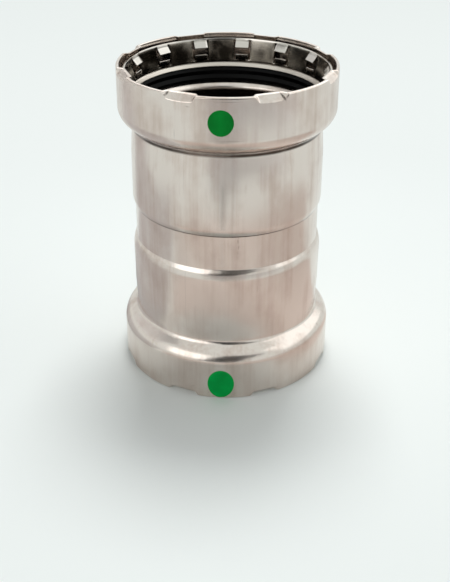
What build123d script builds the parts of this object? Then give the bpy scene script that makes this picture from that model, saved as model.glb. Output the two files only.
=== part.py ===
"""Large-bore press coupling, with its grip rings, separator rings, seals and end marks.

One cold-formed stainless tube joins two pipes end to end. At each end a seal, a separator ring and a
toothed grip ring sit one behind the other in a wide socket, and eight crimps in the rim keep them in.
The axis is +Z, the origin is the middle of the coupling, and -Y is its front.
"""
import os
from math import asin, cos, degrees, radians, sin, tan

from build123d import *

# Pipe and tube
pipe_diameter = 114.3  # outside of the pipe that the coupling takes
pipe_clearance = 0.45  # radial room between pipe and bore
wall = 2.0  # thickness of the tube
overall_length = 197.0

# Sockets, the wide ends that hold the rings
socket_step = 7.5  # how far a socket stands out from the neck
crease_depth = 34.8  # end face to the crease between shoulder and neck
shoulder_angle = 59.0  # slope of the shoulder from the axis, in degrees
shoulder_round = 9.2  # outside round between socket and shoulder

# Stop, the narrow middle that the pipes run up against
stop_step = 1.7  # how far the wall steps in
stop_length = 15.2  # straight stretch at the full step
stop_ramp = 4.9  # length of the slope on each side

# Crimps, where the rim is pressed in over the rings
crimp_count = 8
crimp_width = 20.4  # opening at the rim
crimp_depth = 4.0  # rim to the fold
crimp_reach = 3.7  # how far the metal leans in at the rim
crimp_wall = 1.4  # thickness of the stretched metal
crimp_slant = 0.75  # how much each end of a crimp closes in for each mm of depth
crimp_splay = 0.68  # the same for each mm towards the axis

# Grip ring, a toothed strip bent into a cone
grip_setback = 2.8  # rim to its upper edge
grip_height = 15.0
grip_strip = 1.3  # thickness of the strip
grip_standoff = 2.1  # room between its upper edge and the socket
grip_foot_gap = 1.7  # how far its lower edge stands back from the bore
split_gap = 1.2  # between the two ends of the strip
split_angle = -59.8  # place of the split, from +X
tooth_count = 14
tooth_pitch = 26.1  # angle from tooth to tooth
tooth_offset = 10.3  # angle from the split to the first tooth
tooth_setback = 1.2  # edge of the strip to the bend of a tooth or tongue
tooth_width = 8.6
tooth_length = 5.3
tooth_gap = 0.45  # how far a tooth's tip stands back from the bore
tooth_edge = 0.8  # thickness at the biting edge
tongue_length = 3.7
tongue_lean = 10.0  # from the axis, in degrees
slit_width = 1.25  # beside each tooth and tongue

# Separator ring, the washer between grip ring and seal
separator_height = 3.1

# Seal, a rubber ring with lips
seal_foot_gap = 1.0  # room between its foot and the shoulder, along the axis
lip_count = 2
lip_height = 1.6  # from the valleys between the lips
ring_gap = 0.1  # room between each ring and the socket
bore_gap = 0.2  # how far the rings stand back from the bore

# Marks, a film spot near each end
mark_film = 0.25  # thickness
mark_angle = -92.7  # from +X
upper_mark_width = 14.4
upper_mark_height = 15.4
upper_mark_depth = 13.9  # end face to the middle of the spot
lower_mark_width = 16.2
lower_mark_height = 19.4
lower_mark_depth = 11.0

# What follows from these, for the upper end
half_length = overall_length / 2
bore_radius = pipe_diameter / 2 + pipe_clearance
neck_radius = bore_radius + wall
stop_radius = neck_radius - stop_step
stop_foot = stop_length / 2
stop_top = stop_foot + stop_ramp
socket_radius = neck_radius + socket_step
chamber_radius = socket_radius - wall
ring_radius = chamber_radius - ring_gap
lip_radius = bore_radius + bore_gap
crease_height = half_length - crease_depth
grip_top = half_length - grip_setback
grip_bottom = grip_top - grip_height
grip_top_radius = chamber_radius - grip_standoff - grip_strip
grip_bottom_radius = bore_radius + grip_foot_gap
tooth_bend = grip_top - tooth_setback
tongue_bend = grip_bottom + tooth_setback
separator_bottom = grip_bottom - separator_height


def shoulder_height(radius, inset):
    """Height of the shoulder's slope at a radius, moved in from the outside by an inset."""
    slope = radians(shoulder_angle)
    return crease_height + inset / sin(slope) + (radius - neck_radius) / tan(slope)


def shoulder_bend(inset, flats):
    """Round between slope and socket, from the slope up, as the corners of flats drawn around it."""
    turn = radians(shoulder_angle) / (flats + 1)
    middle_radius = socket_radius - shoulder_round
    middle_height = shoulder_height(socket_radius, 0) + shoulder_round * tan(radians(shoulder_angle) / 2)
    reach = (shoulder_round - inset) / cos(turn / 2)
    corners = []
    for index in range(flats, -1, -1):
        angle = turn * (index + 0.5)
        corners.append((middle_radius + reach * cos(angle), middle_height - reach * sin(angle)))
    return corners


def grip_radius(height):
    """Inside radius of the grip ring's strip at a height."""
    return grip_bottom_radius + (grip_top_radius - grip_bottom_radius) * (height - grip_bottom) / grip_height


# Crimp: a block cut by three planes, its facet and its two slanting ends, pressed into the rim from
# outside. The same block grown by the thickness of the stretched metal gives the inner side.
def crimp_block(growth):
    """Block on +X, above the facet and between the ends, each moved out by a growth."""
    facet = Plane((socket_radius, 0, half_length - crimp_depth), z_dir=(crimp_depth, 0, crimp_reach))
    with BuildPart() as block:
        with Locations((socket_radius, 0, half_length)):
            Box(2 * socket_step, 2 * crimp_width, 3 * crimp_depth)
        split(bisect_by=facet.offset(-growth))
        for side in (-1, 1):
            end = Plane(
                (socket_radius, side * crimp_width / 2, half_length),
                z_dir=(-crimp_splay, side, -crimp_slant),
            )
            split(bisect_by=end.offset(growth), keep=Keep.BOTTOM)
        mirror(about=Plane.XY)
    return block.part


with BuildPart() as crimp_metal:
    add(crimp_block(crimp_wall))
    Cylinder(socket_radius - wall / 2, overall_length, mode=Mode.INTERSECT)

# Body: a tube turned from its section and crimped at both ends
with BuildPart() as body:
    upper_half = [
        (stop_radius, stop_foot),
        (neck_radius, stop_top),
        (neck_radius, crease_height),
        *shoulder_bend(0, 2),
        (socket_radius, half_length),
        (chamber_radius, half_length),
        *reversed(shoulder_bend(wall, 1)),
        (bore_radius, shoulder_height(bore_radius, wall)),
        (bore_radius, stop_top),
        (stop_radius - wall, stop_foot),
    ]
    lower_half = [(radius, -height) for radius, height in reversed(upper_half)]
    with BuildSketch(Plane.XZ):
        with BuildLine():
            Polyline(*upper_half, *lower_half, close=True)
        make_face()
    revolve(axis=Axis.Z)
    with PolarLocations(0, crimp_count, start_angle=180 / crimp_count):
        add(crimp_metal.part)
        add(crimp_block(0), mode=Mode.SUBTRACT)

# Grip ring: windows are punched in the strip, each with a tooth bent in from its upper edge and a
# tongue from its lower one
with BuildPart() as window:
    window_arc = degrees((tooth_width + 2 * slit_width) / grip_top_radius)
    with BuildSketch(Plane.XZ.rotated((0, 0, -window_arc / 2))):
        with Locations((bore_radius, tongue_bend)):
            Rectangle(socket_radius - bore_radius, tooth_bend - tongue_bend, align=Align.MIN)
    revolve(axis=Axis.Z, revolution_arc=window_arc)

with BuildPart() as tooth_and_tongue:
    tooth_root = grip_radius(tooth_bend)
    tooth_tip = bore_radius + tooth_gap
    tooth_lean = asin((tooth_root - tooth_tip) / tooth_length)
    tooth_foot = tooth_bend - tooth_length * cos(tooth_lean)
    tongue_root = grip_radius(tongue_bend)
    tongue_tip = tongue_root - tongue_length * sin(radians(tongue_lean))
    tongue_head = tongue_bend + tongue_length * cos(radians(tongue_lean))
    with BuildSketch(Plane.XZ):
        with BuildLine():
            Polyline(
                (tooth_root, tooth_bend),
                (tooth_tip, tooth_foot),
                (tooth_tip + tooth_edge * cos(tooth_lean), tooth_foot - tooth_edge * sin(tooth_lean)),
                (tooth_root + grip_strip, tooth_bend),
                close=True,
            )
        make_face()
        with BuildLine():
            Polyline(
                (tongue_root, tongue_bend),
                (tongue_tip, tongue_head),
                (tongue_tip + grip_strip, tongue_head),
                (tongue_root + grip_strip, tongue_bend),
                close=True,
            )
        make_face()
    extrude(amount=tooth_width / 2, both=True)

with BuildPart() as grip_ring_upper:
    with BuildSketch(Plane.XZ):
        with BuildLine():
            Polyline(
                (grip_top_radius, grip_top),
                (grip_top_radius + grip_strip, grip_top),
                (grip_bottom_radius + grip_strip, grip_bottom),
                (grip_bottom_radius, grip_bottom),
                close=True,
            )
        make_face()
    revolve(axis=Axis.Z)
    last_tooth = split_angle + tooth_offset + (tooth_count - 1) * tooth_pitch
    with PolarLocations(0, tooth_count, start_angle=last_tooth, angular_range=-tooth_pitch * tooth_count):
        add(window.part, mode=Mode.SUBTRACT)
        add(tooth_and_tongue.part)
    with Locations(Rotation(0, 0, split_angle)):
        Box(
            2 * socket_radius,
            split_gap,
            overall_length,
            align=(Align.MIN, Align.CENTER, Align.CENTER),
            mode=Mode.SUBTRACT,
        )

# Separator ring: a plain washer between the strip's edge and the rubber
with BuildPart() as separator_ring_upper:
    with BuildSketch(Plane.XZ):
        with Locations((lip_radius, separator_bottom)):
            Rectangle(ring_radius - lip_radius, separator_height, align=Align.MIN)
    revolve(axis=Axis.Z)

# Seal: its back fills the socket down to the shoulder and its lips face the pipe
with BuildPart() as seal_upper:
    valley_radius = lip_radius + lip_height
    seal_bottom = shoulder_height(valley_radius, wall) + seal_foot_gap
    lip_pitch = (separator_bottom - seal_bottom) / lip_count
    lips = []
    for index in range(lip_count):
        valley_height = seal_bottom + index * lip_pitch
        lips.append((valley_radius, valley_height))
        lips.append((lip_radius, valley_height + lip_pitch / 2))
    with BuildSketch(Plane.XZ):
        with BuildLine():
            Polyline(
                (valley_radius, separator_bottom),
                (ring_radius, separator_bottom),
                *reversed(shoulder_bend(wall + ring_gap, 1)),
                *lips,
                close=True,
            )
        make_face()
    revolve(axis=Axis.Z)


# Marks: each spot is an oval punched out of a thin shell on the socket
def mark(height, spot_width, spot_height):
    """Film spot centred at a height on the socket."""
    facing = (cos(radians(mark_angle)), sin(radians(mark_angle)), 0)
    across = (-facing[1], facing[0], 0)
    with BuildPart() as spot:
        with Locations((0, 0, height)):
            Cylinder(socket_radius + mark_film, 2 * spot_height)
            Cylinder(socket_radius, 2 * spot_height, mode=Mode.SUBTRACT)
        with BuildSketch(Plane(origin=(0, 0, height), x_dir=across, z_dir=facing)):
            Ellipse(spot_width / 2, spot_height / 2)
        extrude(amount=2 * socket_radius, mode=Mode.INTERSECT)
    return spot


mark_upper = mark(half_length - upper_mark_depth, upper_mark_width, upper_mark_height)
mark_lower = mark(lower_mark_depth - half_length, lower_mark_width, lower_mark_height)

# The rings of the lower end are the same ones, turned over
rings = {"grip_ring": grip_ring_upper, "separator_ring": separator_ring_upper, "seal": seal_upper}
pieces = {"body": body, "mark_upper": mark_upper, "mark_lower": mark_lower}
for name, upper in rings.items():
    with BuildPart() as lower:
        mirror(upper.part, about=Plane.XY)
    pieces[name + "_upper"] = upper
    pieces[name + "_lower"] = lower

os.makedirs("parts", exist_ok=True)
for name, piece in pieces.items():
    piece.part.label = name
    export_step(piece.part, f"parts/{name}.step")
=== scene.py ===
from math import cos, degrees, pi, radians, sin, sqrt, tan

import bmesh
import bpy
from mathutils import Matrix, Vector


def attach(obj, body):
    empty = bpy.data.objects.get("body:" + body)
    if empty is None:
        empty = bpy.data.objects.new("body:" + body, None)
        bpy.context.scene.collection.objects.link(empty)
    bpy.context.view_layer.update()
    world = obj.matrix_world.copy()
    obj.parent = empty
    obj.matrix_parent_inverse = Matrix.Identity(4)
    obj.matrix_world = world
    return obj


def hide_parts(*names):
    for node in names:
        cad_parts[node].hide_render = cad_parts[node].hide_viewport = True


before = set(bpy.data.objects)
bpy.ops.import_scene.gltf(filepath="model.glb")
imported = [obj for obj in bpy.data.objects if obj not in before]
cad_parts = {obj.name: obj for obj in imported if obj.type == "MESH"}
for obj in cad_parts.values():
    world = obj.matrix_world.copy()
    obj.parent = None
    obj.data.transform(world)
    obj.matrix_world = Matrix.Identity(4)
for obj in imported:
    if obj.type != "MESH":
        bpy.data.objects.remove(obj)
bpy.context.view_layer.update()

# Tube: the body of the coupling, one stainless steel tube, cold formed into a socket at each end and
# a stop in the middle. A press tool folds the rim in at eight places, which keeps the rings in.
half_length = 98.5  # lengths are in mm until a piece is finished
bore_radius = 57.6
neck_radius = 59.6
stop_radius = 57.9
socket_radius = 67.1
tube_wall = 2.0
crimp_depth = 4.0  # rim to the fold
crimp_reach = 3.7  # how far the metal leans in at the rim
crimp_wall = 1.4  # thickness of the stretched metal
crimp_slant = 0.75  # how much each end of a crimp closes in for each mm of depth
crimp_splay = 0.68  # the same for each mm towards the axis
facet_growth = 1.36  # how far the facet moves along the radius for each mm of thickness
end_growth = 1.42  # the same for an end, along the rim
worked_depth = 5.6  # how deep the rim is stretched by a crimp
crimp_pitch = 45  # in degrees
crimps = [  # even place from +X, how far it is off that place, width at the rim
    (22.5, 0, 19.5),
    (67.5, 0, 18.4),
    (112.5, 0, 22.0),
    (157.5, 0, 20.0),
    (202.5, -2.0, 20.5),
    (247.5, -1.2, 21.7),
    (292.5, -1.2, 20.2),
    (337.5, 0, 20.0),
]


def draw_section(bm, corners, closed):
    """Draws a section on the XZ plane from corners, each with its height and its rounding."""
    verts = [bm.verts.new((x, 0, z)) for x, z, _ in corners]
    for start, end in zip(verts, verts[1:] + verts[:1] if closed else verts[1:]):
        bm.edges.new((start, end))
    for vert, (_, _, rounding) in zip(verts, corners):
        if rounding:
            one, other = (edge.other_vert(vert).co - vert.co for edge in vert.link_edges)
            turn = pi - one.angle(other)
            bmesh.ops.bevel(
                bm,
                geom=[vert],
                offset=rounding * tan(turn / 2),
                offset_type="OFFSET",
                segments=max(2, round(degrees(turn) / 7)),
                profile=0.5,
                affect="VERTICES",
                clamp_overlap=False,
                material=-1,
            )


def turn_section(bm, start, angle, steps):
    """Turns what is drawn round the axis, from a start angle."""
    bmesh.ops.rotate(bm, verts=bm.verts, matrix=Matrix.Rotation(radians(start), 3, "Z"))
    bmesh.ops.spin(
        bm,
        geom=bm.verts[:] + bm.edges[:],
        axis=(0, 0, 1),
        cent=(0, 0, 0),
        angle=radians(angle),
        steps=steps,
        use_merge=angle == 360,
    )


def join_copy(bm, part, angle=0, flip=False):
    """Adds a copy of a part to a bmesh, turned about the axis or mirrored to the lower end."""
    mesh = bpy.data.meshes.new("copy")
    part.to_mesh(mesh)
    before = set(bm.verts)
    bm.from_mesh(mesh)
    bpy.data.meshes.remove(mesh)
    new = [vert for vert in bm.verts if vert not in before]
    bmesh.ops.rotate(bm, verts=new, matrix=Matrix.Rotation(radians(angle), 3, "Z"))
    if flip:
        bmesh.ops.scale(bm, verts=new, vec=(1, 1, -1))


def blend_high(one, other, width):
    """The higher of two numbers, rounded over where they are close."""
    near = max(width - abs(one - other), 0) / width
    return max(one, other) + near * near * width / 4


def blend_low(one, other, width):
    """The lower of two numbers, rounded over where they are close."""
    return -blend_high(-one, -other, width)


def finish_piece(name, bm, material, node):
    """Makes a piece of the object from a bmesh, in place of a CAD node."""
    bmesh.ops.remove_doubles(bm, verts=bm.verts, dist=0.002)
    bmesh.ops.recalc_face_normals(bm, faces=bm.faces)
    bmesh.ops.scale(bm, verts=bm.verts, vec=(0.001, 0.001, 0.001))
    mesh = bpy.data.meshes.new(name)
    bm.to_mesh(mesh)
    bm.free()
    mesh.shade_smooth()
    mesh.set_sharp_from_angle(angle=radians(35))
    mesh.materials.append(material)
    piece = bpy.data.objects.new(name, mesh)
    bpy.context.scene.collection.objects.link(piece)
    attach(piece, "root")
    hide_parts(node)
    return piece


def press_in(x, y, depth, width, growth):
    """How far a crimp moves a point of the rim towards the axis."""
    facet = socket_radius - crimp_reach * (1 - depth / crimp_depth) - facet_growth * growth
    half_opening = width / 2 + end_growth * growth - crimp_slant * depth
    slanting_end = socket_radius - (half_opening - abs(y)) / crimp_splay
    return blend_low(x, blend_high(facet, slanting_end, 0.7), 0.35) - x


outer_rows = [worked_depth, 4.9, 4.5, 4.25, 4.0, 3.75, 3.4, 2.8, 2.1, 1.5]  # below the rim
inner_rows = [1.2, 2.4, 3.2, 4.0, 4.8, worked_depth, 6.4]
waist_outside = [
    (neck_radius, 38.0, 0),
    (neck_radius, 13.4, 8),
    (58.4, 10.1, 0.3),
    (stop_radius, 9.4, 0.5),
    (stop_radius, -12.6, 0.8),
    (59.2, -14.8, 5.0),
    (neck_radius + 0.3, -18.6, 9.0),
    (neck_radius + 0.3, -24.0, 0),
    (neck_radius, -38.0, 0),
]
waist_inside = [
    (bore_radius, 38.0, 0),
    (bore_radius, 13.4, 7),
    (stop_radius - tube_wall, 9.4, 7),
    (stop_radius - tube_wall, -12.6, 7),
    (bore_radius, -18.6, 7),
    (bore_radius, -38.0, 0),
]
tube = bmesh.new()
draw_section(tube, waist_outside, closed=False)
draw_section(tube, waist_inside, closed=False)
turn_section(tube, 0, 360, 192)
# The ends are formed one after the other, so their shoulders don't lie quite alike
for crease_height, shoulder_height, lower in ((62.4, 68.25, False), (63.6, 69.4, True)):
    end_section = [
        (neck_radius, 38.0, 0),
        (neck_radius, 44.0, 0),
        (neck_radius - 0.4, 52.0, 0),
        (neck_radius - 0.8, 59.0, 0),
        (neck_radius - 0.9, crease_height, 4.0),
        (socket_radius, shoulder_height, 9.2),
        *((socket_radius, half_length - depth, 0) for depth in outer_rows),
        (socket_radius, half_length, 1.1),
        (socket_radius - tube_wall, half_length, 0.5),
        *((socket_radius - tube_wall, half_length - depth, 0) for depth in inner_rows),
        (socket_radius - tube_wall, 69.4, 7.2),
        (bore_radius, 64.9, 6.2),
        (bore_radius, 38.0, 0),
    ]
    socket_end = bmesh.new()
    for even_place, drift, width in crimps:
        sector = bmesh.new()
        draw_section(sector, end_section, closed=False)
        turn_section(sector, -crimp_pitch / 2 - drift, crimp_pitch, 24)
        for side in (-1, 1):
            for reach, slant in [  # cuts where an end folds: on the outside, then round the facet
                *((width / 2 - 0.41 + shift, 0.7) for shift in (-0.7, -0.35, 0, 0.3, 0.6)),
                *((width / 2 - 2.52 + shift, 0.121) for shift in (-0.6, -0.25, 0, 0.35)),
            ]:
                worked_from = half_length - worked_depth
                rim = [face for face in sector.faces if face.calc_center_median().z > worked_from]
                edges = {edge for face in rim for edge in face.edges}
                verts = {vert for face in rim for vert in face.verts}
                bmesh.ops.bisect_plane(
                    sector,
                    geom=[*rim, *edges, *verts],
                    dist=0.001,
                    plane_co=(0, side * reach, half_length),
                    plane_no=(0, side, -slant),
                )
        for vert in sector.verts:
            x, y, z = vert.co
            depth = half_length - z
            if depth < worked_depth:
                chamber_radius = socket_radius - tube_wall
                outer = (sqrt(x * x + y * y) - chamber_radius) / tube_wall
                push_outer = press_in(sqrt(socket_radius**2 - y * y), y, depth, width, 0)
                push_inner = press_in(sqrt(chamber_radius**2 - y * y), y, depth, width, crimp_wall)
                vert.co.x += outer * push_outer + (1 - outer) * push_inner
        join_copy(socket_end, sector, even_place + drift)
        sector.free()
    join_copy(tube, socket_end, flip=lower)
    socket_end.free()


def linear(code):
    """Linear colour of an sRGB hex code."""
    parts = [int(code[i : i + 2], 16) / 255 for i in (1, 3, 5)]
    return (*(p / 12.92 if p < 0.04045 else ((p + 0.055) / 1.055) ** 2.4 for p in parts), 1)


def add_node(material, kind, fields=None, values=None, links=None):
    """Adds a node to a material, with its fields, its inputs' values and its links."""
    node = material.node_tree.nodes.new(kind)
    for name, value in (fields or {}).items():
        setattr(node, name, value)
    for name, value in (values or {}).items():
        node.inputs[name].default_value = value
    for name, socket in (links or {}).items():
        material.node_tree.links.new(socket, node.inputs[name])
    return node


def new_material(name):
    """Makes an empty node material."""
    material = bpy.data.materials.new(name)
    material.use_nodes = True
    material.node_tree.nodes.clear()
    return material


def ring_place(material, place):
    """Sockets with a point's distance from the coupling's middle, along the axis, and from the axis."""
    parts = add_node(material, "ShaderNodeSeparateXYZ", links={0: place})
    along = add_node(
        material,
        "ShaderNodeMath",
        fields={"operation": "ABSOLUTE"},
        links={0: parts.outputs["Z"]},
    )
    flat = add_node(
        material,
        "ShaderNodeVectorMath",
        fields={"operation": "MULTIPLY"},
        values={1: (1, 1, 0)},
        links={0: place},
    )
    off_axis = add_node(
        material,
        "ShaderNodeVectorMath",
        fields={"operation": "LENGTH"},
        links={0: flat.outputs[0]},
    )
    return along.outputs[0], off_axis.outputs["Value"]


# Pickled stainless steel: the acid bath leaves a satin, slightly warm grey. Forming leaves broad soft
# bands along the tube and fine streaks, the acid faint clouds, and handling small scratches and specks.
pickled_steel = new_material("pickled_stainless_steel")
place = add_node(pickled_steel, "ShaderNodeTexCoord")
parts = add_node(pickled_steel, "ShaderNodeSeparateXYZ", links={0: place.outputs["Object"]})
turn = add_node(
    pickled_steel,
    "ShaderNodeMath",
    fields={"operation": "ARCTAN2"},
    links={0: parts.outputs["Y"], 1: parts.outputs["X"]},
)
unrolled_radius = 0.06  # in metres, near the neck's
round_way = add_node(  # metres round the tube, from +X
    pickled_steel,
    "ShaderNodeMath",
    fields={"operation": "MULTIPLY"},
    values={1: unrolled_radius},
    links={0: turn.outputs[0]},
)
unrolled = add_node(
    pickled_steel,
    "ShaderNodeCombineXYZ",
    links={"X": round_way.outputs[0], "Y": parts.outputs["Z"]},
)
patterns = {}
for pattern, scale, detail in (
    ("bands", (90, 90, 4), 2.0),  # 11 mm wide and as long as the tube
    ("streaks", (600, 600, 18), 4.0),  # 1.7 mm wide, 55 mm long
    ("clouds", (42, 42, 30), 5.0),  # 25 mm
    ("grain", (1500, 1500, 900), 2.0),  # 0.7 mm, as coarse as it needs to show
):
    stretch = add_node(
        pickled_steel,
        "ShaderNodeMapping",
        values={"Scale": scale},
        links={"Vector": place.outputs["Object"]},
    )
    patterns[pattern] = add_node(
        pickled_steel,
        "ShaderNodeTexNoise",
        values={"Scale": 1.0, "Detail": detail, "Roughness": 0.55},
        links={"Vector": stretch.outputs["Vector"]},
    ).outputs["Fac"]
finish = patterns["clouds"]
for pattern, share in (("bands", 0.55), ("streaks", 0.3)):
    finish = add_node(
        pickled_steel,
        "ShaderNodeMath",
        fields={"operation": "MULTIPLY_ADD"},
        values={1: share},
        links={0: patterns[pattern], 2: finish},
    ).outputs[0]
tone = add_node(pickled_steel, "ShaderNodeValToRGB", links={"Fac": finish})
tone.color_ramp.elements[0].position = 0.72
tone.color_ramp.elements[0].color = linear("#CABBB1")
tone.color_ramp.elements[1].position = 1.0
tone.color_ramp.elements[1].color = linear("#DDD3CB")
tone.color_ramp.elements.new(0.86).color = linear("#D5C8BF")

# Small marks of handling, and a few of painted shade: angle from +X, height, half width, half height and
# tilt of each, and how dark
handling_and_shade_marks = [
    (-114.6, -27.0, 0.22, 36.0, 0, 0.34),
    (-114.9, 45.0, 0.3, 15.0, 0, 0.12),
    (-83.4, 6.6, 0.5, 2.0, 4, 0.6),
    (-83.0, 2.6, 0.45, 1.6, -8, 0.6),
    (-83.4, -1.2, 0.4, 1.3, 6, 0.55),
    (-83.6, -4.2, 0.45, 0.5, 0, 0.6),
    (-83.0, 8.9, 0.4, 1.0, 0, 0.45),
    (-141.1, 19.4, 0.9, 0.5, 20, 0.5),
    (-116.1, 75.0, 0.22, 4.2, 0, 0.5),
    (-105.1, 74.5, 0.7, 0.4, 0, 0.4),
    (-98.3, 48.9, 1.2, 0.4, -20, 0.5),
    (-25.4, -68.1, 0.7, 0.7, 0, 0.6),
    (-71.8, -25.8, 0.3, 2.6, 0, 0.3),
    (-69.8, -23.6, 2.2, 0.3, 6, 0.25),
    (-107.9, -91.6, 1.5, 0.3, 25, 0.5),
    (-108.9, -92.6, 0.8, 0.25, -50, 0.45),
    (-141.5, 97.2, 0.9, 0.6, 0, 0.5),
    (-96.7, 97.6, 0.8, 0.4, 0, 0.5),
    # Painted shade: a thin dark line where the upper shoulder begins, under the upper spot
    (-88.9, 73.3, 8.5, 0.45, 0, 0.35),
    (-60.0, 30.0, 0.5, 0.4, 0, 0.3),
    (35.0, 20.0, 0.22, 30.0, 0, 0.3),
    (80.0, -55.0, 0.5, 3.0, 12, 0.4),
    (140.0, 82.0, 0.4, 4.0, -15, 0.35),
    (120.0, 5.0, 1.0, 0.4, 10, 0.4),
    (10.0, -80.0, 0.7, 0.5, 0, 0.5),
    # Painted shade: the next three are the dark of small V nicks at the ends of the two front crimps
    (-62.3, 96.4, 0.8, 2.6, 24, 1.6),
    (-60.3, 97.0, 0.6, 1.6, -25, 1.4),
    (-120.9, 97.3, 0.9, 1.6, -20, 1.3),
    (-109.1, 92.2, 1.7, 0.35, -12, 0.6),
    (-89.5, 96.0, 8.0, 0.4, 0, 0.4),
    (-86.8, 40.0, 1.6, 60.0, 0, 0.1),
]
wear_and_shade = None
for angle, height, half_width, half_height, tilt, strength in handling_and_shade_marks:
    centred = add_node(
        pickled_steel,
        "ShaderNodeMapping",
        fields={"vector_type": "TEXTURE"},
        values={
            "Location": (radians(angle) * unrolled_radius, height / 1000, 0),
            "Rotation": (0, 0, radians(tilt)),
            "Scale": (half_width / 1000, half_height / 1000, 1),
        },
        links={"Vector": unrolled.outputs["Vector"]},
    )
    spot = add_node(
        pickled_steel,
        "ShaderNodeTexGradient",
        fields={"gradient_type": "SPHERICAL"},
        links={"Vector": centred.outputs["Vector"]},
    )
    wear_and_shade = add_node(
        pickled_steel,
        "ShaderNodeMath",
        fields={"operation": "MULTIPLY_ADD"},
        values={1: strength * 1.6, **({2: 0.0} if wear_and_shade is None else {})},
        links={0: spot.outputs["Fac"], **({} if wear_and_shade is None else {2: wear_and_shade})},
    ).outputs[0]
broken = add_node(
    pickled_steel,
    "ShaderNodeMath",
    fields={"operation": "MULTIPLY", "use_clamp": True},
    links={0: wear_and_shade, 1: patterns["grain"]},
)
# Painted shade: two inside corners of the upper half, the foot of the upper step and the upper crease,
# get a dark line that fades upwards over some 4 mm
crease_shade_strength = 1.9
share_of_length = add_node(
    pickled_steel,
    "ShaderNodeMath",
    fields={"operation": "DIVIDE"},
    values={1: half_length / 1000},
    links={0: parts.outputs["Z"]},
)
crease_shade = add_node(pickled_steel, "ShaderNodeValToRGB", links={"Fac": share_of_length.outputs[0]})
crease_shade.color_ramp.elements[0].color = (0, 0, 0, 1)
crease_shade.color_ramp.elements[1].color = (0, 0, 0, 1)
for corner, below, core, above in ((9.5, 0.3, 0.5, 3.6), (60.9, 1.3, 1.2, 3.8)):
    for height, share in (
        (corner - below, 0),
        (corner, 1),
        (corner + core, 0.75),
        (corner + core * 1.6, 0.25),
        (corner + above, 0),
    ):
        level = crease_shade_strength * share
        crease_shade.color_ramp.elements.new(height / half_length).color = (level, level, level, 1)
corners = add_node(
    pickled_steel,
    "ShaderNodeMath",
    fields={"operation": "MULTIPLY_ADD", "use_clamp": True},
    links={0: crease_shade.outputs["Color"], 1: patterns["clouds"], 2: broken.outputs[0]},
)
# Wear marks and painted shade darken the steel towards a dark brown-grey
worn_and_shaded = add_node(
    pickled_steel,
    "ShaderNodeMix",
    fields={"data_type": "RGBA"},
    values={7: linear("#4A423C")},
    links={0: corners.outputs[0], 6: tone.outputs["Color"]},
)
# Painted shade: inside, between the sockets and below the seals, the tube's colour is darkened
along, off_axis = ring_place(pickled_steel, place.outputs["Object"])
mid_wall = add_node(  # radius of the middle of the wall, from the stop to the neck
    pickled_steel,
    "ShaderNodeMapRange",
    values={"From Min": 0.0094, "From Max": 0.0145, "To Min": 0.0569, "To Max": 0.0582},
    links={"Value": along},
)
within = add_node(
    pickled_steel,
    "ShaderNodeMath",
    fields={"operation": "LESS_THAN"},
    links={0: off_axis, 1: mid_wall.outputs[0]},
)
deep = add_node(  # below the seal
    pickled_steel,
    "ShaderNodeMapRange",
    values={"From Min": 0.0625, "From Max": 0.0595},
    links={"Value": along},
)
bore_shade = add_node(
    pickled_steel,
    "ShaderNodeMath",
    fields={"operation": "MULTIPLY"},
    links={0: within.outputs[0], 1: deep.outputs[0]},
)
bore_shaded = add_node(
    pickled_steel,
    "ShaderNodeMix",
    fields={"data_type": "RGBA"},
    values={7: linear("#6B625A")},
    links={0: bore_shade.outputs[0], 6: worn_and_shaded.outputs[2]},
)
rough = add_node(
    pickled_steel,
    "ShaderNodeMapRange",
    values={"From Min": 0.7, "From Max": 1.05, "To Min": 0.27, "To Max": 0.2},
    links={"Value": finish},
)
bump = add_node(
    pickled_steel,
    "ShaderNodeBump",
    values={"Strength": 0.06, "Distance": 0.0002},
    links={"Height": patterns["grain"]},
)
dents = add_node(
    pickled_steel,
    "ShaderNodeBump",
    values={"Strength": 0.5, "Distance": 0.0004},
    links={"Height": patterns["bands"], "Normal": bump.outputs["Normal"]},
)
surface = add_node(
    pickled_steel,
    "ShaderNodeBsdfPrincipled",
    values={"Metallic": 1.0},
    links={
        "Base Color": bore_shaded.outputs[2],
        "Roughness": rough.outputs["Result"],
        "Normal": dents.outputs["Normal"],
    },
)
add_node(pickled_steel, "ShaderNodeOutputMaterial", links={"Surface": surface.outputs["BSDF"]})
finish_piece("tube", tube, pickled_steel, "body")

# Seals: a black rubber ring in each socket, moulded with two lips that the pipe slides through. It
# lies loose against the shoulder.
ring_steps = 144


def finish_pair(name, ring, material, node):
    """Finishes a ring made for the upper end, there and turned over in the lower end."""
    pair = []
    for end in ("upper", "lower"):
        copy = bmesh.new()
        join_copy(copy, ring, flip=end == "lower")
        pair.append(finish_piece(name + end, copy, material, node + end))
    ring.free()
    return pair


seal = bmesh.new()
draw_section(
    seal,
    [
        (59.4, 77.6, 0.3),
        (65.0, 77.6, 0.8),
        (65.0, 69.6, 7.0),
        (59.4, 66.9, 0.4),
        (57.85, 69.6, 0.5),
        (59.4, 72.2, 0.5),
        (57.85, 74.9, 0.5),
    ],
    closed=True,
)
turn_section(seal, 0, 360, ring_steps)

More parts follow.
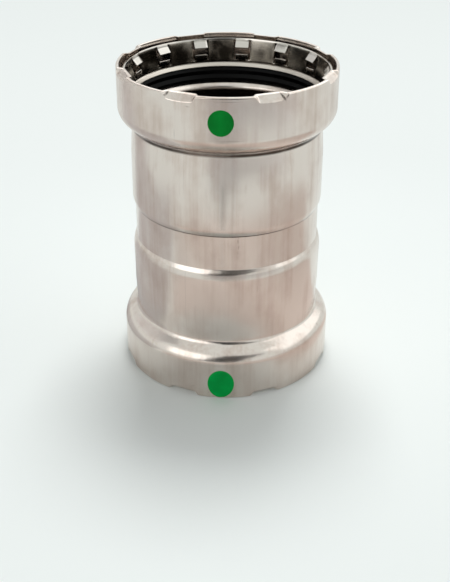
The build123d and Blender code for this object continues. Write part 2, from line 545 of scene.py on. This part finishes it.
# Moulded rubber: nearly black, with the dull sheen of a mould face and a trace of assembly grease
moulded_rubber = new_material("moulded_rubber")
place = add_node(moulded_rubber, "ShaderNodeTexCoord")
film = add_node(  # clouds of 6 mm
    moulded_rubber,
    "ShaderNodeTexNoise",
    values={"Scale": 160.0, "Detail": 4.0},
    links={"Vector": place.outputs["Object"]},
)
tone = add_node(moulded_rubber, "ShaderNodeValToRGB", links={"Fac": film.outputs["Fac"]})
tone.color_ramp.elements[0].color = linear("#020202")
tone.color_ramp.elements[1].color = linear("#060606")
rough = add_node(
    moulded_rubber,
    "ShaderNodeMapRange",
    values={"From Min": 0.3, "From Max": 0.7, "To Min": 0.3, "To Max": 0.42},
    links={"Value": film.outputs["Fac"]},
)
surface = add_node(
    moulded_rubber,
    "ShaderNodeBsdfPrincipled",
    values={"Specular IOR Level": 0.1},
    links={"Base Color": tone.outputs["Color"], "Roughness": rough.outputs["Result"]},
)
add_node(moulded_rubber, "ShaderNodeOutputMaterial", links={"Surface": surface.outputs["BSDF"]})
finish_pair("seal_ring_", seal, moulded_rubber, "seal_")

# Separator rings: a plain turned washer of stainless steel, which keeps the teeth off the rubber. It
# lies on the seal.
washer = bmesh.new()
draw_section(
    washer,
    [
        (57.8, 77.6, 0.1),
        (57.8, 78.0, 0.3),
        (59.0, 79.8, 0.3),
        (60.3, 80.7, 0.2),
        (65.0, 80.7, 0.3),
        (65.0, 77.6, 0.3),
    ],
    closed=True,
)
turn_section(washer, 0, 360, ring_steps)

# Turned stainless steel: fine rings from the lathe stretch each reflection across them
turned_steel = new_material("turned_stainless_steel")
place = add_node(turned_steel, "ShaderNodeTexCoord")
rings = add_node(  # 0.3 mm apart
    turned_steel,
    "ShaderNodeMapping",
    values={"Scale": (20, 20, 3000)},
    links={"Vector": place.outputs["Object"]},
)
turning = add_node(
    turned_steel,
    "ShaderNodeTexNoise",
    values={"Scale": 1.0, "Detail": 3.0},
    links={"Vector": rings.outputs["Vector"]},
)
rough = add_node(
    turned_steel,
    "ShaderNodeMapRange",
    values={"To Min": 0.34, "To Max": 0.5},
    links={"Value": turning.outputs["Fac"]},
)
surface = add_node(
    turned_steel,
    "ShaderNodeBsdfPrincipled",
    values={"Metallic": 1.0, "Base Color": linear("#D6CEC4")},
    links={"Roughness": rough.outputs["Result"]},
)
add_node(turned_steel, "ShaderNodeOutputMaterial", links={"Surface": surface.outputs["BSDF"]})
finish_pair("separator_", washer, turned_steel, "separator_ring_")

# Grip rings: a strip of hard stainless spring steel, punched with fourteen windows and bent into a
# cone. In each window a tooth leans in to bite the pipe and a tongue stands up to stop it folding.
grip_top = 95.7
grip_bottom = 80.7
grip_top_radius = 61.7
grip_bottom_radius = 59.3
strip_thickness = 1.3
tooth_bend = 94.5
tongue_bend = 81.9
tooth_pitch = 26.1  # angles are in degrees
tooth_count = 14
first_tooth = -49.5
split_angle = -59.8
split_half_gap = 0.6
window_half = 5.2  # half width of a window
tooth_half = 4.03


def strip_radius(z):
    """Inside radius of the strip at a height."""
    rise = (z - grip_bottom) / (grip_top - grip_bottom)
    return grip_bottom_radius + (grip_top_radius - grip_bottom_radius) * rise


cell = bmesh.new()
rows = [grip_top, tooth_bend, 91.3, 89.0, 87.2, 85.4, tongue_bend, grip_bottom]
draw_section(cell, [(strip_radius(z), z, 0) for z in rows], closed=False)
turn_section(cell, -tooth_pitch / 2, tooth_pitch, 12)
for edge_angle in (-window_half, -tooth_half, tooth_half, window_half):
    across = (-sin(radians(edge_angle)), cos(radians(edge_angle)), 0)
    bmesh.ops.bisect_plane(
        cell,
        geom=cell.verts[:] + cell.edges[:] + cell.faces[:],
        dist=0.001,
        plane_co=(0, 0, 0),
        plane_no=across,
    )
window_slope = tan(radians(window_half))
opening = [
    face
    for face in cell.faces
    if abs(face.calc_center_median().y) < window_slope * face.calc_center_median().x
    and tongue_bend < face.calc_center_median().z < tooth_bend
]
bmesh.ops.delete(cell, geom=opening, context="FACES")
tooth_slope = tan(radians(tooth_half + 0.1))
for bend, bend_radius, tip_radius, tip_height in (  # a tooth, then a tongue
    (tooth_bend, 61.51, 58.05, 90.49),
    (tongue_bend, 59.49, 58.85, 85.54),
):
    hinge = [
        edge
        for edge in cell.edges
        if all(abs(v.co.z - bend) < 0.01 and abs(v.co.y) < tooth_slope * v.co.x for v in edge.verts)
    ]
    for share in (0.12, 1.0):
        grown = bmesh.ops.extrude_edge_only(cell, edges=hinge)["geom"]
        verts = {item for item in grown if isinstance(item, bmesh.types.BMVert)}
        edges = [item for item in grown if isinstance(item, bmesh.types.BMEdge)]
        hinge = [edge for edge in edges if all(vert in verts for vert in edge.verts)]
        for vert in verts:
            vert.co.z = bend + (tip_height - bend) * share
            vert.co.x = bend_radius + (tip_radius - bend_radius) * share
strip = bmesh.new()
along_split = (-sin(radians(split_angle)), cos(radians(split_angle)), 0)
for index in range(tooth_count):
    turned = bmesh.new()
    join_copy(turned, cell, first_tooth + index * tooth_pitch)
    if index in (0, tooth_count - 1):
        side = 1 if index == 0 else -1
        bmesh.ops.bisect_plane(
            turned,
            geom=turned.verts[:] + turned.edges[:] + turned.faces[:],
            dist=0.001,
            plane_co=[side * split_half_gap * part for part in along_split],
            plane_no=[side * part for part in along_split],
            clear_inner=True,
        )
    join_copy(strip, turned)
    turned.free()
cell.free()

# Hard rolled stainless spring steel, fairly smooth, so that each tooth flashes or goes dark as a whole.
# Its brownish clouds go near-black as painted shade of the dark socket; teeth and top edge are painted
# highlights.
spring_strip = new_material("hard_rolled_spring_steel")
place = add_node(spring_strip, "ShaderNodeTexCoord")
strip_shade_clouds = add_node(  # clouds of 18 mm
    spring_strip,
    "ShaderNodeTexNoise",
    values={"Scale": 55.0, "Detail": 4.0},
    links={"Vector": place.outputs["Object"]},
)
tone = add_node(spring_strip, "ShaderNodeValToRGB", links={"Fac": strip_shade_clouds.outputs["Fac"]})
tone.color_ramp.elements[0].position = 0.4
tone.color_ramp.elements[0].color = linear("#38342F")
tone.color_ramp.elements[1].position = 0.62
tone.color_ramp.elements[1].color = linear("#B4AEA5")
along, off_axis = ring_place(spring_strip, place.outputs["Object"])
inside_face = add_node(
    spring_strip,
    "ShaderNodeMapRange",
    values={
        "From Min": grip_bottom / 1000,
        "From Max": grip_top / 1000,
        "To Min": grip_bottom_radius / 1000,
        "To Max": grip_top_radius / 1000,
    },
    links={"Value": along},
)
leaning_in = add_node(
    spring_strip,
    "ShaderNodeMath",
    fields={"operation": "SUBTRACT"},
    links={0: inside_face.outputs[0], 1: off_axis},
)
tooth_face = add_node(  # what stands in from the strip's face
    spring_strip,
    "ShaderNodeMapRange",
    values={"From Min": 0.0001, "From Max": 0.0006},
    links={"Value": leaning_in.outputs[0]},
)
top_edge = add_node(
    spring_strip,
    "ShaderNodeMapRange",
    values={"From Min": 0.0935, "From Max": 0.0957},
    links={"Value": along},
)
# Painted highlight: teeth and top edge are mixed towards a pale grey
ground = add_node(
    spring_strip,
    "ShaderNodeMath",
    fields={"operation": "MAXIMUM"},
    links={0: tooth_face.outputs[0], 1: top_edge.outputs[0]},
)
painted_highlights = add_node(
    spring_strip,
    "ShaderNodeMix",
    fields={"data_type": "RGBA"},
    values={7: linear("#D2CCC5")},
    links={0: ground.outputs[0], 6: tone.outputs["Color"]},
)
rough = add_node(
    spring_strip,
    "ShaderNodeMapRange",
    values={"To Min": 0.12, "To Max": 0.2},
    links={"Value": strip_shade_clouds.outputs["Fac"]},
)
surface = add_node(
    spring_strip,
    "ShaderNodeBsdfPrincipled",
    values={"Metallic": 1.0},
    links={"Base Color": painted_highlights.outputs[2], "Roughness": rough.outputs["Result"]},
)
add_node(spring_strip, "ShaderNodeOutputMaterial", links={"Surface": surface.outputs["BSDF"]})
for ring in finish_pair("toothed_ring_", strip, spring_strip, "grip_ring_"):
    thicken = ring.modifiers.new("strip", "SOLIDIFY")
    thicken.thickness = strip_thickness / 1000
    thicken.offset = 1
    thicken.use_even_offset = True
    soften = ring.modifiers.new("edges", "BEVEL")
    soften.width = 0.00015
    soften.segments = 2
    soften.limit_method = "ANGLE"
    soften.angle_limit = radians(40)

# Marks: a spot of green lacquer near each end of the tube, dabbed on and flowed out to an oval. The
# upper spot is given a darker green than the lower one, painted shade on the same lacquer.
film_top = 0.2  # above the tube
film_foot = -0.05
for end, angle, height, spot_width, spot_height, dark, light in (
    ("upper", -93.1, 83.8, 14.6, 15.4, "#006822", "#007A2A"),
    ("lower", -92.75, -88.0, 16.5, 19.8, "#008237", "#009843"),
):
    # Green lacquer: an even, dull film, faintly cloudy where it flowed
    green_lacquer = new_material("green_lacquer_" + end)
    place = add_node(green_lacquer, "ShaderNodeTexCoord")
    flow = add_node(  # clouds of 11 mm
        green_lacquer,
        "ShaderNodeTexNoise",
        values={"Scale": 90.0, "Detail": 3.0},
        links={"Vector": place.outputs["Object"]},
    )
    tone = add_node(green_lacquer, "ShaderNodeValToRGB", links={"Fac": flow.outputs["Fac"]})
    tone.color_ramp.elements[0].position = 0.35
    tone.color_ramp.elements[0].color = linear(dark)
    tone.color_ramp.elements[1].position = 0.7
    tone.color_ramp.elements[1].color = linear(light)
    surface = add_node(
        green_lacquer,
        "ShaderNodeBsdfPrincipled",
        values={"Roughness": 0.45, "Specular IOR Level": 0.06},
        links={"Base Color": tone.outputs["Color"]},
    )
    add_node(green_lacquer, "ShaderNodeOutputMaterial", links={"Surface": surface.outputs["BSDF"]})
    spot = bmesh.new()
    bmesh.ops.create_cone(spot, cap_ends=True, segments=72, radius1=1, radius2=1, depth=1)
    for thickness in (0.05, 0.1, 0.2, 0.25, 0.25):
        caps = [face for face in spot.faces if len(face.verts) > 4]
        bmesh.ops.inset_individual(spot, faces=caps, thickness=thickness)
    for vert in spot.verts:
        across, up, out = vert.co
        rim = across * across + up * up > 0.98
        film = film_foot if out < 0 else 0.0 if rim else film_top
        turn = radians(angle) + across * spot_width / 2 / socket_radius
        radius = socket_radius + film
        vert.co = (radius * cos(turn), radius * sin(turn), height + up * spot_height / 2)
    finish_piece("spot_" + end, spot, green_lacquer, "mark_" + end)

# Studio: a plain pale floor, soft light from the sides and from behind, and the camera at the
# photograph's angle. The floor shows its own shadow near the object and is evenly pale further out.
floor_radius = 9  # lengths are in metres from here on
floor_z = -half_length / 1000


def background_rays(material):
    """Socket that is 1 for the rays that show a background: from the camera, a gloss or a glass."""
    path = add_node(material, "ShaderNodeLightPath")
    direct = add_node(
        material,
        "ShaderNodeMath",
        fields={"operation": "ADD"},
        links={0: path.outputs["Is Camera Ray"], 1: path.outputs["Is Glossy Ray"]},
    )
    shown = add_node(
        material,
        "ShaderNodeMath",
        fields={"operation": "ADD", "use_clamp": True},
        links={0: direct.outputs[0], 1: path.outputs["Is Transmission Ray"]},
    )
    return shown.outputs[0]


def studio_piece(name, bm, material):
    """Makes a piece of the studio from a bmesh."""
    mesh = bpy.data.meshes.new(name)
    bm.to_mesh(mesh)
    bm.free()
    mesh.materials.append(material)
    piece = bpy.data.objects.new(name, mesh)
    bpy.context.scene.collection.objects.link(piece)
    return piece


pale_floor = new_material("pale_floor")
shown = background_rays(pale_floor)
place = add_node(pale_floor, "ShaderNodeTexCoord")
distance = add_node(
    pale_floor,
    "ShaderNodeVectorMath",
    fields={"operation": "LENGTH"},
    links={0: place.outputs["Object"]},
)
clear = add_node(
    pale_floor,
    "ShaderNodeMapRange",
    fields={"interpolation_type": "SMOOTHSTEP"},
    values={"From Min": 0.1, "From Max": 0.42, "To Min": 0.0, "To Max": 0.85},
    links={"Value": distance.outputs["Value"]},
)
seen = add_node(
    pale_floor,
    "ShaderNodeMath",
    fields={"operation": "MULTIPLY"},
    links={0: shown, 1: clear.outputs[0]},
)
diffuse = add_node(pale_floor, "ShaderNodeBsdfDiffuse", values={"Color": linear("#EAF0EE")})
glow = add_node(
    pale_floor,
    "ShaderNodeEmission",
    values={"Color": linear("#EEF4F2"), "Strength": 1.0},
)
mixed = add_node(
    pale_floor,
    "ShaderNodeMixShader",
    links={0: seen.outputs[0], 1: diffuse.outputs["BSDF"], 2: glow.outputs["Emission"]},
)
add_node(pale_floor, "ShaderNodeOutputMaterial", links={"Surface": mixed.outputs["Shader"]})
ground = bmesh.new()
bmesh.ops.create_circle(ground, cap_ends=True, segments=96, radius=floor_radius)
bmesh.ops.translate(ground, verts=ground.verts, vec=(0, 0, floor_z))
floor = studio_piece("floor", ground, pale_floor)

# Softboxes face the object, each at degrees from the front and above the floor. The one behind is only
# mirrored, and the last two light only what is matt
lamp_distance = 1.3
for name, side, height, size, power, mirrored, on_matt in (
    ("left_softbox", -42, 18, (0.95, 0.75), 2.3, True, True),
    ("right_softbox", 98, 33, (1.9, 1.05), 3.6, True, True),
    ("back_softbox", 180, 52, (2.2, 1.0), 7.8, True, False),
    ("front_softbox", 0, 10, (0.6, 0.6), 3.4, False, True),
    ("shadow_softbox", 172, 68, (0.5, 0.5), 13.0, False, True),
):
    lamp = bpy.data.lights.new(name, "AREA")
    lamp.shape = "RECTANGLE"
    lamp.size, lamp.size_y = size
    lamp.energy = power
    softbox = bpy.data.objects.new(name, lamp)
    turn, rise = radians(side), radians(height)
    towards = Vector((sin(turn) * cos(rise), -cos(turn) * cos(rise), sin(rise)))
    softbox.location = lamp_distance * towards
    softbox.rotation_euler = (-towards).to_track_quat("-Z", "Y").to_euler()
    softbox.visible_glossy = mirrored
    softbox.visible_diffuse = on_matt
    bpy.context.scene.collection.objects.link(softbox)

# Cards, which only reflections see: matt boards in greys, warm near the object, that lie on the floor or
# stand round it, so that the metal mirrors more than lamps. Each has its tones from left to right
card_z = floor_z + 0.0002
near_card = [
    (-0.22, -0.13),
    (-0.16, -0.22),
    (-0.06, -0.27),
    (0.06, -0.27),
    (0.17, -0.23),
    (0.3, -0.15),
    (0.34, 0.0),
    (0.33, 0.06),
    (0.09, 0.05),
    (0.087, -0.02),
    (0.08, -0.05),
    (0.055, -0.1),
    (0.0, -0.145),
    (-0.07, -0.125),
    (-0.105, -0.075),
]
smudge_card = [
    (-0.03, -0.25),
    (-0.014, -0.25),
    (-0.01, -0.365),
    (0.08, -0.375),
    (0.09, -0.415),
    (-0.13, -0.415),
    (-0.12, -0.375),
    (-0.035, -0.365),
]
floor_card = [
    (-0.17, -0.46),
    (0.2, -0.46),
    (0.34, -0.36),
    (0.5, -0.17),
    (1.2, -0.5),
    (1.2, -1.3),
    (-0.5, -1.3),
]
left_card = [
    (-0.09, 0.0),
    (-0.1, -0.05),
    (-0.3, -0.15),
    (-0.34, 0.0),
    (-0.6, 0.22),
    (-0.6, 0.5),
    (-0.07, 0.09),
]
front_card = [
    (-0.8, card_z),
    (-0.42, 0.3),
    (0.0, 0.95),
    (0.95, 0.95),
    (1.2, 0.85),
    (0.6, 0.35),
    (0.2, card_z),
]
for name, corners, tones in (
    (
        "near_card",
        [(x, y, card_z - 0.0001) for x, y in near_card],
        (
            (-0.19, "#CCC4BE"),
            (-0.12, "#E0D8D2"),
            (0.0, "#E6DED8"),
            (0.06, "#DED5CF"),
            (0.14, "#D6CDC7"),
            (0.2, "#CCC3BD"),
            (0.34, "#C8BFB9"),
        ),
    ),
    (
        "smudge_card",
        [(x, y, card_z) for x, y in smudge_card],
        ((-0.13, "#A0A0A0"), (-0.05, "#747474"), (0.09, "#A0A0A0")),
    ),
    (
        "floor_card",
        [(x, y, card_z) for x, y in floor_card],
        ((-0.5, "#D2D2D2"), (0.1, "#C0C0C0"), (0.31, "#C8C8C8"), (0.42, "#D0D0D0"), (0.52, "#E4E4E4")),
    ),
    (
        "left_card",
        [(x, y, card_z) for x, y in left_card],
        ((-0.6, "#E6E6E6"), (-0.3, "#CCCCCC"), (-0.13, "#C8C8C8"), (-0.07, "#A8A8A8")),
    ),
    (
        "high_card",
        [(-1.28, -0.23, 0.3), (-0.65, 1.13, 0.3), (-0.65, 1.13, 1.8), (-1.28, -0.23, 1.8)],
        ((-1.28, "#FAFAFA"), (-0.65, "#D8D8D8")),
    ),
    (
        "front_card",
        [(x, -1.3, z) for x, z in front_card],
        ((-0.8, "#BBBBBB"), (-0.3, "#4A4A4A"), (0.25, "#4A4A4A"), (1.2, "#C4C4C4")),
    ),
):
    board = new_material(name)
    place = add_node(board, "ShaderNodeTexCoord")
    parts = add_node(board, "ShaderNodeSeparateXYZ", links={0: place.outputs["Object"]})
    across = add_node(
        board,
        "ShaderNodeMapRange",
        values={"From Min": tones[0][0], "From Max": tones[-1][0]},
        links={"Value": parts.outputs["X"]},
    )
    grey = add_node(board, "ShaderNodeValToRGB", links={"Fac": across.outputs[0]})
    stops = grey.color_ramp.elements
    stops[0].color, stops[1].color = linear(tones[0][1]), linear(tones[-1][1])
    for x, tone in tones[1:-1]:
        stops.new((x - tones[0][0]) / (tones[-1][0] - tones[0][0])).color = linear(tone)
    matt = add_node(board, "ShaderNodeBsdfDiffuse", links={"Color": grey.outputs["Color"]})
    add_node(board, "ShaderNodeOutputMaterial", links={"Surface": matt.outputs["BSDF"]})
    shape = bmesh.new()
    shape.faces.new([shape.verts.new(corner) for corner in corners])
    card = studio_piece(name, shape, board)
    card.visible_camera = False
    card.visible_diffuse = False
    card.visible_shadow = False

# World: a pale wall where it is seen or mirrored, and dimmer light from it on what is matt
world = bpy.data.worlds.new("studio")
bpy.context.scene.world = world
world.use_nodes = True
world.node_tree.nodes.clear()
toward = add_node(world, "ShaderNodeTexCoord")
parts = add_node(world, "ShaderNodeSeparateXYZ", links={0: toward.outputs["Generated"]})
rise = add_node(world, "ShaderNodeValToRGB", links={"Fac": parts.outputs["Z"]})
rise.color_ramp.elements[0].position = 0.45
rise.color_ramp.elements[0].color = (0.36, 0.36, 0.36, 1)
rise.color_ramp.elements[1].position = 0.95
rise.color_ramp.elements[1].color = (0.26, 0.26, 0.26, 1)
sky = add_node(world, "ShaderNodeBackground", links={"Color": rise.outputs["Color"]})
wall = add_node(world, "ShaderNodeBackground", values={"Color": linear("#EEF3F1")})
both = add_node(
    world,
    "ShaderNodeMixShader",
    links={0: background_rays(world), 1: sky.outputs[0], 2: wall.outputs[0]},
)
add_node(world, "ShaderNodeOutputWorld", links={"Surface": both.outputs[0]})

lens = bpy.data.cameras.new("camera")
lens.sensor_fit = "VERTICAL"
lens.sensor_height = 36
lens.lens = 61.5
lens.shift_x = -0.0031
lens.shift_y = -0.1289
camera = bpy.data.objects.new("camera", lens)
camera.location = (0, -0.5773, 0.2742)
roll = Matrix.Rotation(0.0055, 3, "Z")
camera.rotation_euler = (Matrix.Rotation(radians(64.235), 3, "X") @ roll).to_euler()
bpy.context.scene.collection.objects.link(camera)
bpy.context.scene.camera = camera
bpy.context.scene.view_settings.view_transform = "Standard"

bpy.context.view_layer.update()
